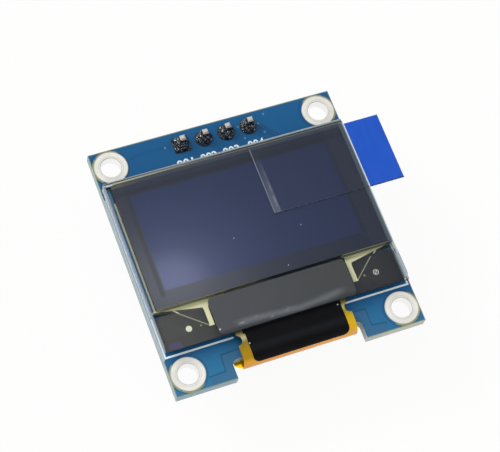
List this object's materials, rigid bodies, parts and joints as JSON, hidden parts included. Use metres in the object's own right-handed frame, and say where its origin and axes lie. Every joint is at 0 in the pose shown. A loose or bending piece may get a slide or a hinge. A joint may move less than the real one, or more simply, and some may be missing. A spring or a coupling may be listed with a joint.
{
  "type": "small oled display module",
  "caption": "Small rectangular OLED display panel on a blue circuit board with corner mounting holes, a row of header pins and a folded flex circuit.",
  "frame": {"origin": "centre of the four mounting holes, on the circuit board's rear face", "axes": "+Z out of the display's face, +Y up the display towards the pin header, +X to the viewer's right, towards the pull tab"},
  "size_m": [0.0307, 0.0278, 0.0118],
  "materials": {
    "board": "blue solder mask on fibreglass",
    "white_ink": "printed white ink",
    "plated_pad": "levelled tin plating",
    "black_plastic": "moulded black plastic",
    "pin_metal": "plated square pin",
    "solder": "bright solder",
    "foam": "thin foam tape",
    "glass": "clear display glass",
    "seal": "cured adhesive",
    "pixels": "dark light-emitting layers",
    "polariser": "dark glossy polarising film",
    "lead_metal": "pale metal film",
    "silicon": "bare driver chip",
    "black_tape": "black shield tape",
    "grey_tape": "dark grey shield tape",
    "clear_film": "clear plastic film",
    "blue_tab": "blue plastic film",
    "polyimide": "amber flexible circuit",
    "cover_layer": "glossy black cover layer",
    "ceramic_part": "ceramic body with tinned ends",
    "resistor_part": "black glazed body with tinned ends",
    "moulded_part": "moulded epoxy",
    "leg_metal": "tinned legs"
  },
  "bodies": {
    "root": {"circuit_board": "board", "printed_frame": "white_ink", "header_strip": "black_plastic", "foam_tape": "foam", "cap_glass": "glass", "edge_seal": "seal", "pixel_matrix": "pixels", "substrate_glass": "glass", "polariser": "polariser", "lead_left": "lead_metal", "lead_right": "lead_metal", "side_lead": "lead_metal", "alignment_dots": "lead_metal", "driver_chip": "silicon", "rear_shield_tape": "black_tape", "front_shield_tape": "grey_tape", "protective_film": "clear_film", "clear_tape": "clear_film", "pull_tab": "blue_tab", "flex_circuit": "polyimide", "flex_cover": "cover_layer", "flex_solder": "solder", "regulator_body": "moulded_part", "regulator_legs": "leg_metal", "diode": "moulded_part", "chip_solder": "solder", "hole_plating_1": "plated_pad", "header_pad_1": "plated_pad", "header_pin_1": "pin_metal", "solder_joint_1": "solder", "hole_plating_2": "plated_pad", "header_pad_2": "plated_pad", "header_pin_2": "pin_metal", "solder_joint_2": "solder", "hole_plating_3": "plated_pad", "header_pad_3": "plated_pad", "header_pin_3": "pin_metal", "solder_joint_3": "solder", "hole_plating_4": "plated_pad", "header_pad_4": "plated_pad", "header_pin_4": "pin_metal", "solder_joint_4": "solder", "capacitor_1": "ceramic_part", "resistor_1": "resistor_part", "capacitor_2": "ceramic_part", "resistor_2": "resistor_part", "capacitor_3": "ceramic_part", "resistor_3": "resistor_part", "capacitor_4": "ceramic_part", "resistor_4": "resistor_part", "capacitor_5": "ceramic_part", "resistor_5": "resistor_part", "capacitor_6": "ceramic_part", "resistor_6": "resistor_part"}
  },
  "joints": []
}
